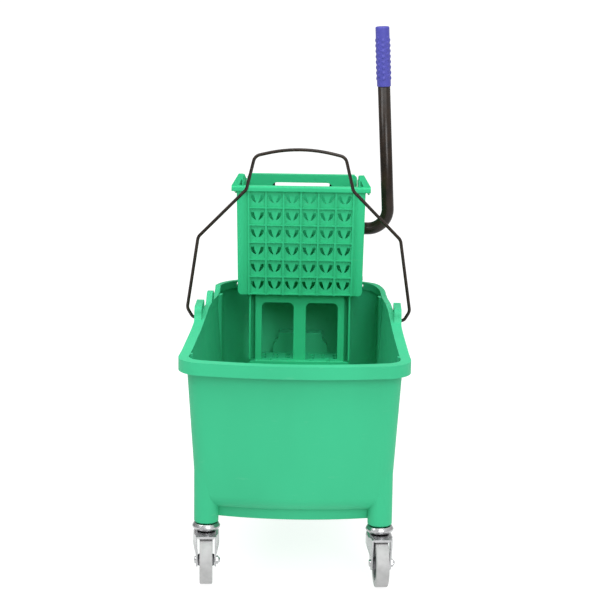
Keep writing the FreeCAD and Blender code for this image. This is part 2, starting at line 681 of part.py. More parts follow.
def side_frame(sign):
    """Inner wall and web of one side housing, with the basket wall below it."""
    frame = frame_slab(FRAME_IN, COVER_X, 0).cut(frame_slab(FRAME_IN + FRAME_WALL, COVER_X + 5, 3.0))
    rack_slot = box(FRAME_IN - 1, PLATE_Y - TRAVEL - 2, RACK_Z + 5.4, FRAME_IN + 5,
                    PLATE_Y + 22, RACK_Z + 16.6)
    guide_slot = box(FRAME_IN - 1, PLATE_Y - TRAVEL - 2, 419.4, FRAME_IN + 5, PLATE_Y + 8, 428.6)
    bush_hole = rod(BUSH_R, V(FRAME_IN - 1, SHAFT_Y, SHAFT_Z), V(COVER_X + 9, SHAFT_Y, SHAFT_Z))
    frame = frame.cut(rack_slot).cut(guide_slot).cut(bush_hole)
    pegs = []
    for y, z in cover_screw_places():
        pegs.append(rod(4.6, V(FRAME_IN + 1, y, z), V(COVER_X, y, z)))
    ledge = box(BASKET_X - 3, FRAME_FRONT, FRAME_LOW, FRAME_IN + 2, BASKET_REAR, FRAME_LOW + 3)
    wall = rounded(
        [V(0, FRAME_FRONT, FRAME_LOW + 3), V(0, FRAME_FRONT, BASKET_FLOOR_Z + 6),
         V(0, BASKET_REAR - 14, BASKET_FLOOR_Z + 6), V(0, BASKET_REAR, FRAME_LOW + 3)],
        [0, 5, 5, 0])
    wall = prism(wall, V(3, 0, 0))
    wall.translate(V(BASKET_X - 3, 0, 0))
    gusset = []
    for y in (FRAME_FRONT + 22, FRAME_FRONT + 52):
        gusset.append(prism(polygon([V(BASKET_X - 1, y, FRAME_LOW + 1), V(FRAME_IN + 1, y, FRAME_LOW + 1),
                                     V(BASKET_X - 1, y, FRAME_LOW - 24)]), V(0, 3, 0)))
    frame = join([frame, ledge, wall] + pegs + gusset)
    for y, z in cover_screw_places():
        frame = frame.cut(rod(2.0, V(FRAME_IN + 3, y, z), V(COVER_X + 1, y, z)))
    return on_side(frame, sign)


def cover_screw_places():
    return [(FRAME_FRONT + 9, 566), (246, 560.5), (FRAME_REAR - 9, 520), (FRAME_REAR - 12, 458),
            (196, FRAME_LOW + 9), (FRAME_FRONT + 9, FRAME_LOW + 9)]


def side_cover(sign):
    """Outer cover of one side housing, with the flared eave along its top."""
    plate = frame_slab(COVER_X, COVER_OUT, 0)
    plate = plate.cut(rod(BUSH_R, V(COVER_X - 1, SHAFT_Y, SHAFT_Z), V(COVER_OUT + 1, SHAFT_Y, SHAFT_Z)))
    eave = rounded(
        [V(COVER_X, 0, ROOF_Z), V(COVER_X, 0, ROOF_Z - 12), V(COVER_OUT, 0, ROOF_Z - 7),
         V(EAVE_X - 2.4, 0, EAVE_Z), V(EAVE_X, 0, EAVE_Z), V(COVER_X + 1.6, 0, ROOF_Z)],
        [0, 0, 2, 0, 0, 2])
    eave = prism(eave, V(0, EAVE_LONG, -EAVE_DROP))
    eave.translate(V(0, FRAME_FRONT, 0))
    cover = join([plate, eave])
    for y, z in cover_screw_places():
        cover = cover.cut(rod(2.3, V(COVER_X - 1, y, z), V(COVER_OUT + 12, y, z)))
    return on_side(cover, sign)


def cover_screws():
    screws = []
    for sign in SIDES.values():
        for y, z in cover_screw_places():
            shank = rod(1.9, V(FRAME_IN + 4, y, z), V(COVER_OUT, y, z))
            head = rod(4.0, V(COVER_OUT + 0.02, y, z), V(COVER_OUT + 1.8, y, z))
            head = filleted(head, 0.9, lambda edge: edge.CenterOfMass.x > COVER_OUT + 1.7)
            head = head.fuse(shank.fuse(rod(1.9, V(COVER_OUT - 1, y, z), V(COVER_OUT + 0.5, y, z))))
            recess = box(COVER_OUT + 0.9, y - 2.2, z - 0.5, COVER_OUT + 3, y + 2.2, z + 0.5)
            cross = box(COVER_OUT + 0.9, y - 0.5, z - 2.2, COVER_OUT + 3, y + 0.5, z + 2.2)
            screws.append(on_side(head.cut(recess).cut(cross), sign))
    return solids(screws)


def wringer_window_panel():
    """Lower front panel with two tall drain windows and side returns that reach the walls."""
    low = BASKET_FLOOR_Z + 6.0
    window_low = SHELF_TOP + 0.4
    outline = rounded(
        [V(-PANEL_HALF, PANEL_Y, low), V(PANEL_HALF, PANEL_Y, low),
         V(PANEL_HALF, PANEL_Y, PANEL_TOP), V(-PANEL_HALF, PANEL_Y, PANEL_TOP)],
        [0, 0, 4, 4])
    windows = []
    frames = []
    for sign in SIDES.values():
        windows.append(rounded(
            [V(sign * WINDOW_NEAR, PANEL_Y, window_low), V(sign * WINDOW_FAR, PANEL_Y, window_low),
             V(sign * WINDOW_FAR, PANEL_Y, WINDOW_TOP), V(sign * WINDOW_NEAR, PANEL_Y, WINDOW_TOP)],
            [1, 1, 9, 9]))
        near = sign * (WINDOW_NEAR - 3)
        far = sign * (WINDOW_FAR + 3)
        top = WINDOW_TOP + 3
        outer = rounded(
            [V(near, PANEL_Y + 3, low), V(far, PANEL_Y + 3, low),
             V(far, PANEL_Y + 3, top), V(near, PANEL_Y + 3, top)],
            [1, 1, 12, 12])
        frames.append(prism(outer, V(0, 7, 0)))
    panel = join([prism(outline, V(0, 4, 0))] + frames)
    for wire in windows:
        panel = panel.cut(prism(wire, V(0, 20, 0)))
    back = PANEL_Y + PANEL_DEEP
    cheeks = []
    for sign in SIDES.values():
        cheeks.append(on_side(box(PANEL_HALF - 3, PANEL_Y + 3, low, PANEL_HALF, back, PANEL_TOP - 3), sign))
        cheeks.append(on_side(box(PANEL_HALF - 3, back - 3, low, BASKET_X - 3.05, back, PANEL_TOP - 3), sign))
    return join([panel] + cheeks)


def wringer_basket_floor():
    """Drain floor of the basket: a slotted plate with a raised shelf in front and four upright nibs."""
    slots = []
    for column in range(7):
        x = (column - 3) * 21.0
        for y in (138.0, 160.0):
            slots.append(rounded(
                [V(x - 4, y, BASKET_FLOOR_Z), V(x + 4, y, BASKET_FLOOR_Z), V(x + 4, y + 16, BASKET_FLOOR_Z),
                 V(x - 4, y + 16, BASKET_FLOOR_Z)],
                [3.9, 3.9, 3.9, 3.9]))
    outline = rounded(
        [V(-BASKET_X, SHELF_FRONT, BASKET_FLOOR_Z), V(BASKET_X, SHELF_FRONT, BASKET_FLOOR_Z),
         V(BASKET_X, 184, BASKET_FLOOR_Z), V(-BASKET_X, 184, BASKET_FLOOR_Z)],
        [4, 4, 4, 4])
    floor = prism(outline, V(0, 0, 6), slots)
    front = SHELF_FRONT
    back = PANEL_Y - 0.1
    shelf = box(-PANEL_HALF, front, BASKET_FLOOR_Z, PANEL_HALF, back, SHELF_TOP)
    shelf = filleted(shelf, 1.2, lambda edge: edge.CenterOfMass.y < front + 0.1
                     and edge.CenterOfMass.z > SHELF_TOP - 0.1)
    nibs = []
    for place, top in NIB_TOPS.items():
        for x in (-place, place):
            nibs.append(box(x - 2, front + 1.3, SHELF_TOP - 1, x + 2, back, top))
    return join([floor, shelf] + nibs)


def rim_hanger():
    """Rear bridge between the side frames: a channel that drops over the bucket's rear rim."""
    seat = REAR_TOP_Z + 0.7
    back = HANGER_BACK_Y
    beam = polygon([
        V(-FRAME_IN, 222, seat), V(-FRAME_IN, 248, seat), V(-FRAME_IN, back, seat + 5),
        V(-FRAME_IN, back, HANGER_TOP_Z), V(-FRAME_IN, back - 4, HANGER_TOP_Z),
        V(-FRAME_IN, back - 4, seat + 9), V(-FRAME_IN, 222, seat + 6)])
    pieces = [prism(beam, V(2 * FRAME_IN, 0, 0))]
    pieces.append(box(-HOOK_HALF, 223.5, 356, HOOK_HALF, 227.5, seat + 1))
    pieces.append(box(-HOOK_HALF, 244.5, 348, HOOK_HALF, 248.5, seat + 1))
    for x in (-70, -25, 25, 70):
        pieces.append(prism(polygon([V(x - 2, 226, seat + 5), V(x - 2, back - 3, seat + 5),
                                     V(x - 2, back - 3, HANGER_TOP_Z - 8)]), V(4, 0, 0)))
    bridge = join(pieces)
    for x in (-47, 0, 47):
        window = rounded([V(x - 15, 250, 424), V(x + 15, 250, 424), V(x + 15, 250, 458), V(x - 15, 250, 458)],
                         [5, 5, 5, 5])
        bridge = bridge.cut(prism(window, V(0, 20, 0)))
    return bridge


def journal(sign):
    """Radius that turns in the bushes: the lever tube on the right, the bare shaft on the left."""
    return TUBE_R if sign > 0 else SHAFT_R


def shaft_bushes():
    """Flanged bushes in both walls of each side housing."""
    bushes = []
    for sign in SIDES.values():
        bore = journal(sign) + FIT
        spans = ((FRAME_IN - 1.6, FRAME_IN + FRAME_WALL + 0.3, FRAME_IN - 1.6, FRAME_IN - 0.02),
                 (COVER_X - 0.3, COVER_OUT + 1.4, COVER_OUT + 0.02, COVER_OUT + 1.4))
        for start, end, collar_start, collar_end in spans:
            sleeve = ring(BUSH_R - 0.03, bore, V(start, SHAFT_Y, SHAFT_Z), V(end, SHAFT_Y, SHAFT_Z))
            near = V(collar_start, SHAFT_Y, SHAFT_Z)
            collar = ring(BUSH_COLLAR_R, bore, near, V(collar_end, SHAFT_Y, SHAFT_Z))
            bushes.append(on_side(sleeve.fuse(collar), sign))
    return solids(bushes)


def return_spring():
    """Torsion spring round the cross shaft. One leg rests on the bridge, the other points at the shaft."""
    coils = 7
    pitch = 3.6
    long = pitch * coils
    helix = Part.makeHelix(pitch, long, SPRING_R)
    section = Part.Wire(Part.makeCircle(SPRING_WIRE_R, V(SPRING_R, 0, 0), V(0, 1, 0)))
    coil = Part.Wire(helix.Edges).makePipeShell([section], True, True)
    inner_leg = rod(SPRING_WIRE_R * 0.96, V(SPRING_R + 0.3, 0.4, 0), V(SHAFT_R + 0.4, 0.4, 0))
    outer_leg = rod(SPRING_WIRE_R * 0.96, V(SPRING_R, -0.5, long), V(SPRING_R, 25, long))
    spring = coil.fuse(inner_leg).fuse(outer_leg)
    spring.rotate(V(0, 0, 0), Y_AXIS, 90)
    spring.translate(V(-long / 2.0, SHAFT_Y, SHAFT_Z))
    return spring


# ---------------------------------------------------------------- wringer, moving pieces
def hand_slot(grow):
    """Outline of the hand slot, grown outwards by a distance."""
    half = SLOT_HALF + grow
    low = SLOT_LOW - grow
    high = SLOT_HIGH + grow
    corners = [V(-half, PLATE_Y, low), V(half, PLATE_Y, low), V(half, PLATE_Y, high), V(-half, PLATE_Y, high)]
    return rounded(corners, [(high - low) / 2.0 - 0.1] * 4)


def press_plate():
    outline = rounded(
        [V(-PLATE_HALF, PLATE_Y, PLATE_LOW), V(PLATE_HALF, PLATE_Y, PLATE_LOW),
         V(PLATE_HALF, PLATE_Y, PLATE_TOP), V(-PLATE_HALF, PLATE_Y, PLATE_TOP)],
        [5, 5, 6, 6])
    slot = hand_slot(0)
    plate = prism(outline, V(0, 4, 0))
    pieces = [plate, prism(hand_slot(3), V(0, COLLAR_DEEP, 0))]
    for x in (-84, -42, 0, 42, 84):
        pieces.append(box(x - 1.5, PLATE_Y + 3, PLATE_LOW + 3, x + 1.5, PLATE_Y + 14, 554))
    for z in (PLATE_LOW + 4, 440, 500, 550):
        pieces.append(box(-PLATE_HALF + 4, PLATE_Y + 3, z - 1.5, PLATE_HALF - 4, PLATE_Y + 14, z + 1.5))
    pieces.append(box(-PLATE_HALF + 4, PLATE_Y + 3, PLATE_TOP - 3, PLATE_HALF - 4, PLATE_Y + 14, PLATE_TOP))
    for sign in SIDES.values():
        tongue = box(PLATE_HALF - 8, PLATE_Y, 420, FRAME_IN + FRAME_WALL, PLATE_Y + 6, 428)
        pieces.append(on_side(tongue, sign))
        block = box(88, PLATE_Y + 3, RACK_Z + 6, 93.5, PLATE_Y + 20, RACK_Z + 16)
        pieces.append(on_side(block, sign))
    knobs = []
    for row in range(4):
        for column in range(6):
            x = (column - 2.5) * 30.0
            z = 425 + row * 32.0
            knobs.append(rod(4.0, V(x, PLATE_Y - 2.5, z), V(x, PLATE_Y + 1, z)))
    plate = join(pieces + knobs)
    return plate.cut(prism(slot, V(0, 20, 0)))


def press_bracket():
    """Steel strap fixed behind the hand slot's collar: two arms and a cross piece."""
    y = PLATE_Y + COLLAR_DEEP
    strap = box(-64, y, 536, 64, y + 2.5, 552)
    arms = []
    for sign in SIDES.values():
        arm = rounded([V(46.5, y, 546), V(64, y, 546), V(64, y, 586), V(49, y, 586)], [0, 0, 5, 5])
        arms.append(on_side(prism(arm, V(0, 2.5, 0)), sign))
    return join([strap] + arms)


def rack(sign):
    """Toothed bar inside the side housing, with a lug through the wall to the press plate."""
    pitch = math.pi * MODULE
    tip = MODULE
    root = 1.25 * MODULE
    lean = math.tan(PRESSURE)
    half = pitch / 4.0 - BACKLASH / 2.0
    front = PLATE_Y + 2.0
    rear = SHAFT_Y + TRAVEL + 8.0
    teeth = []
    index = -1
    while SHAFT_Y + index * pitch + pitch / 2.0 < rear:
        y = SHAFT_Y + index * pitch
        teeth.append(prism(polygon([
            V(0, y - half + tip * lean, RACK_Z - tip), V(0, y + half - tip * lean, RACK_Z - tip),
            V(0, y + half + root * lean, RACK_Z + root), V(0, y - half - root * lean, RACK_Z + root)]),
            V(GEAR_WIDE, 0, 0)))
        index += 1
    bar = box(0, front, RACK_Z + root - 0.01, GEAR_WIDE, rear, RACK_Z + 17)
    toothed = join([bar] + teeth)
    toothed.translate(V(GEAR_X, 0, 0))
    lug = box(93.6, PLATE_Y + 4.2, RACK_Z + 6, GEAR_X + 1, PLATE_Y + 20, RACK_Z + 16)
    return on_side(join([toothed, lug]), sign)


def sector_gear(sign):
    """Toothed sector keyed to the cross shaft; its teeth face up and to the rear at rest."""
    base = PITCH_R * math.cos(PRESSURE)
    tip = PITCH_R + MODULE
    root = PITCH_R - 1.25 * MODULE
    half_pitch = math.pi / (2 * GEAR_TEETH) - BACKLASH / (2 * PITCH_R)

    def involute(angle):
        return math.tan(angle) - angle

    def flank(radius):
        if radius < base:
            return half_pitch + involute(PRESSURE)
        return half_pitch + involute(PRESSURE) - involute(math.acos(base / radius))

    def at(radius, angle):
        return V(0, SHAFT_Y + radius * math.sin(angle), SHAFT_Z + radius * math.cos(angle))

    step = 2 * math.pi / GEAR_TEETH
    levels = [base, (base + PITCH_R) / 2.0, PITCH_R, (PITCH_R + tip) / 2.0, tip]
    teeth = []
    for index in range(-2, 7):
        middle = (index + 0.5) * step
        points = [at(root - 2, middle - flank(root))]
        points += [at(radius, middle - flank(radius)) for radius in [root] + levels]
        points += [at(radius, middle + flank(radius)) for radius in reversed([root] + levels)]
        points += [at(root - 2, middle + flank(root))]
        teeth.append(prism(polygon(points), V(GEAR_WIDE, 0, 0)))
    first = -1.9 * step
    last = 6.9 * step
    middle = (first + last) / 2.0
    web = Part.Wire([
        Part.LineSegment(at(4, middle + math.pi), at(root, first)).toShape(),
        Part.Arc(at(root, first), at(root, middle), at(root, last)).toShape(),
        Part.LineSegment(at(root, last), at(4, middle + math.pi)).toShape(),
    ])
    body = prism(web, V(GEAR_WIDE, 0, 0))
    hub = rod(18.0, V(0, SHAFT_Y, SHAFT_Z), V(GEAR_WIDE, SHAFT_Y, SHAFT_Z))
    gear = join([body, hub] + teeth)
    gear = gear.cut(rod(journal(sign) + 0.02, V(-1, SHAFT_Y, SHAFT_Z), V(GEAR_WIDE + 1, SHAFT_Y, SHAFT_Z)))
    hole_y = SHAFT_Y + 18.5
    hole_z = SHAFT_Z + 22.5
    gear = gear.cut(rod(6.0, V(-1, hole_y, hole_z), V(GEAR_WIDE + 1, hole_y, hole_z)))
    gear.translate(V(GEAR_X, 0, 0))
    return on_side(gear, sign)


def cross_shaft():
    """Round bar behind the press plate; its right end plugs into the lever tube."""
    shaft = rod(SHAFT_R, V(-COVER_OUT - 5, SHAFT_Y, SHAFT_Z), V(TUBE_START_X + 36, SHAFT_Y, SHAFT_Z))
    shaft = chamfered(shaft, 1.2, is_circle)
    return shaft.cut(lever_bolt_hole())


def shaft_end_clip():
    """Push-on ring that keeps the shaft from sliding out on the left."""
    end = -COVER_OUT - 3.4
    return ring(13.0, SHAFT_R, V(end, SHAFT_Y, SHAFT_Z), V(end + 1.7, SHAFT_Y, SHAFT_Z))


def lever_wire():
    return rounded(
        [V(TUBE_START_X, SHAFT_Y, SHAFT_Z), V(TUBE_FOOT_X, SHAFT_Y, SHAFT_Z), TUBE_TOP],
        [0, TUBE_BEND, 0], False)


def lever_tube():
    wire = lever_wire()
    return pipe(wire, TUBE_R).cut(pipe(wire, TUBE_BORE)).cut(lever_bolt_hole())


def lever_bolt_hole():
    x = TUBE_START_X + 12
    return rod(2.6, V(x, SHAFT_Y - 20, SHAFT_Z), V(x, SHAFT_Y + 20, SHAFT_Z))


def lever_bolt():
    """Cross bolt through tube and shaft, with its nut on the front side."""
    x = TUBE_START_X + 12
    rear = SHAFT_Y + TUBE_R
    front = SHAFT_Y - TUBE_R
    shank = rod(2.55, V(x, front - 3.6, SHAFT_Z), V(x, rear + 0.5, SHAFT_Z))
    head = rod(4.8, V(x, rear + 0.02, SHAFT_Z), V(x, rear + 3.0, SHAFT_Z))
    head = filleted(head, 1.2, lambda edge: edge.CenterOfMass.y > rear + 2.9 and is_circle(edge))
    nut = ring(4.6, 2.55, V(x, front - 3.2, SHAFT_Z), V(x, front - 0.02, SHAFT_Z))
    return solids([join([head, shank]), nut])


def lever_grip():
    """Moulded sleeve over the end of the tube, closed at the top."""
    down = (V(TUBE_FOOT_X, SHAFT_Y, SHAFT_Z) - TUBE_TOP).normalize()
    top = TUBE_TOP - down * 3.0
    sleeve = rod(GRIP_R, top, top + down * GRIP_LONG)
    sleeve = filleted(sleeve, 2.0, is_circle)
    return sleeve.cut(rod(TUBE_R + 0.02, TUBE_TOP + down * 0.02, TUBE_TOP + down * (GRIP_LONG + 5)))


# ---------------------------------------------------------------- export
def export_all():
    os.makedirs("parts", exist_ok=True)
    save("bucket_shell", bucket_shell())
    save("bail_wire", bail_wire())
    caster_pieces = {
        "socket": caster_socket(), "stem": caster_stem(), "balls": caster_balls(), "fork": caster_fork(),
        "hub": caster_hub(), "tyre": caster_tyre(), "axle_bolt": caster_bolt(), "axle_nut": caster_nut(),
    }
    for leg_name in LEGS:
        for piece, shape in caster_pieces.items():
            save("caster_%s_%s" % (leg_name, piece), place_caster(shape, leg_name))
    save("wringer_front_grille", wringer_front_grille())
    save("wringer_window_panel", wringer_window_panel())
    save("wringer_basket_floor", wringer_basket_floor())
    save("rim_hanger", rim_hanger())
    save("shaft_bushes", shaft_bushes())
    save("cover_screws", cover_screws())
    save("return_spring", return_spring())
    save("press_plate", press_plate())
    save("press_bracket", press_bracket())
    save("cross_shaft", cross_shaft())
    save("shaft_end_clip", shaft_end_clip())
    save("lever_tube", lever_tube())
    save("lever_bolt", lever_bolt())
    save("lever_grip", lever_grip())
    for side, sign in SIDES.items():
        save("side_frame_%s" % side, side_frame(sign))
        save("side_cover_%s" % side, side_cover(sign))
        save("rack_%s" % side, rack(sign))
        save("sector_gear_%s" % side, sector_gear(sign))


export_all()
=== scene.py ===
import json
import math

import bmesh
import bpy
from mathutils import Matrix, Vector


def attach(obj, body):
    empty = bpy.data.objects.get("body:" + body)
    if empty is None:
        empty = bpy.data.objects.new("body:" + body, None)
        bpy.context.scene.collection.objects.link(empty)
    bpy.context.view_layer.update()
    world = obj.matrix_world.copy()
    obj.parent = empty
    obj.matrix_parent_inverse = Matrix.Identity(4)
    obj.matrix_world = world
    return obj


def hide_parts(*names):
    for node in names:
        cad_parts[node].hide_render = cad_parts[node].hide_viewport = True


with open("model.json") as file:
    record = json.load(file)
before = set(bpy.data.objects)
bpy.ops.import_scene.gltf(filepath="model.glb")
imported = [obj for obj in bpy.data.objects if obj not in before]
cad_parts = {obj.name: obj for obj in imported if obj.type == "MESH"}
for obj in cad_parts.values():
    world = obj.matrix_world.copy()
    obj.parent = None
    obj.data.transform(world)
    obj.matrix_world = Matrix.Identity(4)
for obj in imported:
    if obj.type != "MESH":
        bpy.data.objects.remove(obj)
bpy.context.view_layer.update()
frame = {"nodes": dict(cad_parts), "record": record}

# ---- camera -----------------------------------------------------------------
CAMERA_PLACE = (0.060, -3.157, 1.069)
CAMERA_PITCH = math.radians(11.99)      # downwards
CAMERA_YAW = math.radians(0.89)         # towards -X
CAMERA_ROLL = math.radians(0.78)
CAMERA_LENS = 113.4
CAMERA_SENSOR = 36.0
CAMERA_REACH = 60.0

# ---- colours, as linear RGB -------------------------------------------------
BUCKET_GREEN = (0.032, 0.412, 0.200)
WRINGER_GREEN = (0.024, 0.430, 0.190)
GRIP_VIOLET = (0.046, 0.046, 0.305)
TUBE_BLACK = (0.010, 0.007, 0.005)
ZINC = (0.50, 0.50, 0.51)
TYRE_GREY = (0.38, 0.38, 0.38)
HUB_GREY = (0.13, 0.13, 0.14)
NYLON = (0.72, 0.70, 0.64)
ACETAL = (0.80, 0.80, 0.77)
SPRING_STEEL = (0.24, 0.24, 0.25)
SHAFT_STEEL = (0.52, 0.52, 0.53)


# ---- node helpers -----------------------------------------------------------
NOISE_LOW = 0.3             # nearly all of a noise texture's values lie between these
NOISE_HIGH = 0.7


def set_range(node, low, high, out_low, out_high):
    for socket, value in (("From Min", low), ("From Max", high), ("To Min", out_low), ("To Max", out_high)):
        node.inputs[socket].default_value = value


class Graph:
    """A small wrapper that makes and links shader nodes."""

    def __init__(self, name):
        self.material = bpy.data.materials.new(name)
        self.material.use_nodes = True
        self.tree = self.material.node_tree
        self.tree.nodes.clear()
        self.shader = self.add("ShaderNodeBsdfPrincipled")
        output = self.add("ShaderNodeOutputMaterial")
        self.link(self.shader.outputs["BSDF"], output.inputs["Surface"])
        self.place = self.add("ShaderNodeTexCoord").outputs["Object"]

    def add(self, kind, **values):
        node = self.tree.nodes.new(kind)
        for key, value in values.items():
            setattr(node, key, value)
        return node

    def link(self, source, target):
        self.tree.links.new(source, target)

    def noise(self, scale, detail=4.0, rough=0.55, stretch=None):
        node = self.add("ShaderNodeTexNoise")
        node.inputs["Scale"].default_value = scale
        node.inputs["Detail"].default_value = detail
        node.inputs["Roughness"].default_value = rough
        place = self.place
        if stretch:
            mapping = self.add("ShaderNodeMapping")
            mapping.inputs["Scale"].default_value = stretch
            self.link(place, mapping.inputs["Vector"])
            place = mapping.outputs["Vector"]
        self.link(place, node.inputs["Vector"])
        return node.outputs["Fac"]

    def remap(self, source, out_low, out_high, low=NOISE_LOW, high=NOISE_HIGH):
        """Spread values between low and high over out_low to out_high."""
        node = self.add("ShaderNodeMapRange")
        set_range(node, low, high, out_low, out_high)
        self.link(source, node.inputs["Value"])
        return node.outputs["Result"]

    def mix(self, factor, first, second):
        """Two colours, each a tuple or a socket, mixed by a socket."""
        node = self.add("ShaderNodeMix", data_type="RGBA")
        self.link(factor, node.inputs["Factor"])
        for socket, value in ((node.inputs[6], first), (node.inputs[7], second)):
            if isinstance(value, tuple):
                socket.default_value = value + (1.0,)
            else:
                self.link(value, socket)
        return node.outputs[2]

    def bump(self, height, strength, distance, under=None):
        node = self.add("ShaderNodeBump")
        node.inputs["Strength"].default_value = strength
        node.inputs["Distance"].default_value = distance
        self.link(height, node.inputs["Height"])
        if under is not None:
            self.link(under, node.inputs["Normal"])
        return node.outputs["Normal"]

    def paint(self, colour, roughness, normal):
        """Link what every material has: a colour, a roughness and a normal."""
        for socket, source in (("Base Color", colour), ("Roughness", roughness), ("Normal", normal)):
            self.link(source, self.shader.inputs[socket])

    def set(self, **values):
        for key, value in values.items():
            self.shader.inputs[key.replace("_", " ")].default_value = value


def shade(colour, factor):
    """A linear colour made lighter or darker."""
    return tuple(min(1.0, channel * factor) for channel in colour)


# ---- materials --------------------------------------------------------------
def moulded_plastic(name, colour, roughness):
    """Satin polypropylene: faint flow mottling, fine spark-eroded grain, a few soft rub marks."""
    g = Graph(name)
    flow = g.noise(scale=9.0, detail=3.0, rough=0.5, stretch=(1.0, 1.0, 0.35))
    base = g.mix(g.remap(flow, 0.0, 1.0), shade(colour, 0.955), shade(colour, 1.045))
    scuffs = g.noise(scale=38.0, detail=6.0, rough=0.62, stretch=(1.0, 1.0, 3.2))
    rubbed = g.remap(scuffs, 0.0, 0.16, low=0.62, high=0.78)
    pale = tuple(0.82 * channel + 0.12 for channel in colour)
    gloss = g.remap(g.noise(scale=26.0, detail=4.0), roughness - 0.05, roughness + 0.07)
    fine = g.bump(g.noise(scale=2600.0, detail=2.0, rough=0.6), strength=0.35, distance=0.00006)
    ripple = g.bump(g.noise(scale=14.0, detail=2.0, rough=0.5), strength=0.18, distance=0.0012, under=fine)
    g.paint(g.mix(rubbed, base, pale), gloss, ripple)
    g.set(IOR=1.49, Specular_IOR_Level=0.22)
    return g.material


def zinc_plate(name):
    """Bright zinc plate over pressed steel: rolling lines, cloudy reflectance."""
    g = Graph(name)
    cloud = g.noise(scale=120.0, detail=5.0, rough=0.6)
    gloss = g.remap(g.noise(scale=420.0, detail=4.0), 0.16, 0.34)
    rolled = g.noise(scale=900.0, detail=3.0, rough=0.6, stretch=(1.0, 1.0, 0.08))
    g.paint(g.mix(g.remap(cloud, 0.0, 1.0), shade(ZINC, 0.86), ZINC), gloss,
            g.bump(rolled, strength=0.25, distance=0.00005))
    g.set(Metallic=1.0)
    return g.material


def bare_steel(name, colour, roughness, stretch):
    """Turned or drawn steel: fine lines that run across the stretch direction."""
    g = Graph(name)
    lines = g.noise(scale=1400.0, detail=3.0, rough=0.65, stretch=stretch)
    gloss = g.remap(g.noise(scale=200.0, detail=3.0), roughness - 0.06, roughness + 0.08)
    g.paint(g.mix(g.remap(lines, 0.0, 1.0), shade(colour, 0.8), colour), gloss,
            g.bump(lines, strength=0.3, distance=0.00004))
    g.set(Metallic=1.0)
    return g.material


def coated_steel(name, colour):
    """Glossy black powder coat with orange peel."""
    g = Graph(name)
    tone = g.noise(scale=60.0, detail=3.0)
    warm = (colour[0] * 2.2, colour[1] * 1.8, colour[2] * 1.5)
    gloss = g.remap(g.noise(scale=300.0, detail=3.0), 0.18, 0.30)
    peel = g.noise(scale=500.0, detail=2.0, rough=0.5)
    g.paint(g.mix(g.remap(tone, 0.0, 1.0, low=0.35, high=0.75), colour, warm), gloss,
            g.bump(peel, strength=0.1, distance=0.00005))
    g.set(Specular_IOR_Level=0.28)
    return g.material


def grey_rubber(name, colour):
    """Non-marking rubber: matt, faintly dusty, with a fine grain."""
    g = Graph(name)
    dust = g.noise(scale=70.0, detail=6.0, rough=0.6)
    gloss = g.remap(g.noise(scale=180.0, detail=4.0), 0.52, 0.72)
    grain = g.noise(scale=1500.0, detail=4.0, rough=0.6)
    g.paint(g.mix(g.remap(dust, 0.0, 1.0, low=0.35, high=0.75), shade(colour, 0.9), shade(colour, 1.12)),
            gloss, g.bump(grain, strength=0.3, distance=0.0001))
    return g.material


def plain_moulding(name, colour, roughness):
    """Small engineering-plastic mouldings."""
    g = Graph(name)
    tone = g.noise(scale=45.0, detail=4.0, rough=0.6)
    gloss = g.remap(g.noise(scale=240.0, detail=3.0), roughness - 0.06, roughness + 0.08)
    grain = g.noise(scale=1800.0, detail=3.0, rough=0.6)
    g.paint(g.mix(g.remap(tone, 0.0, 1.0), shade(colour, 0.9), shade(colour, 1.06)), gloss,
            g.bump(grain, strength=0.2, distance=0.00006))
    return g.material


EVENLY = (1.0, 1.0, 1.0)
ROUND_THE_SHAFT = (6.0, 0.2, 0.2)


def make_materials():
    """One material for each slot, with its roughness."""
    return {
        "bucket_green": moulded_plastic("bucket_green", BUCKET_GREEN, 0.50),
        "wringer_green": moulded_plastic("wringer_green", WRINGER_GREEN, 0.50),
        "black_wire": coated_steel("black_wire", TUBE_BLACK),
        "black_tube": coated_steel("black_tube", TUBE_BLACK),
        "zinc_steel": zinc_plate("zinc_steel"),
        "ball_steel": bare_steel("ball_steel", ZINC, 0.16, EVENLY),
        "hub_grey": plain_moulding("hub_grey", HUB_GREY, 0.5),
        "tyre_grey": grey_rubber("tyre_grey", TYRE_GREY),
        "gear_nylon": plain_moulding("gear_nylon", NYLON, 0.45),
        "bush_acetal": plain_moulding("bush_acetal", ACETAL, 0.38),
        "spring_steel": bare_steel("spring_steel", SPRING_STEEL, 0.36, EVENLY),
        "shaft_steel": bare_steel("shaft_steel", SHAFT_STEEL, 0.3, ROUND_THE_SHAFT),
        "grip_violet": plain_moulding("grip_violet", GRIP_VIOLET, 0.5),
    }


MATERIALS = make_materials()
SLOT_OF = {row["node"]: row["material_slot"] for row in frame["record"]["subparts"]}


# ---- carried-over CAD nodes -------------------------------------------------
EDGE_ROUNDING = {
    "bucket_shell": 0.0016,
    "wringer_front_grille": 0.0007,
    "wringer_window_panel": 0.0008,
    "wringer_basket_floor": 0.0006,
    "rim_hanger": 0.0007,
    "press_plate": 0.0007,
    "side_frame_left": 0.0006,
    "side_frame_right": 0.0006,
    "side_cover_left": 0.0007,
    "side_cover_right": 0.0007,
}
DEFAULT_ROUNDING = 0.0003
NEVER_ROUNDED = ("balls", "bail_wire", "lever_tube", "return_spring")
EDGE_SEGMENTS = 2
SHARP_ANGLE = math.radians(32)
SEAM_GAP = 0.000004         # corners this close are one


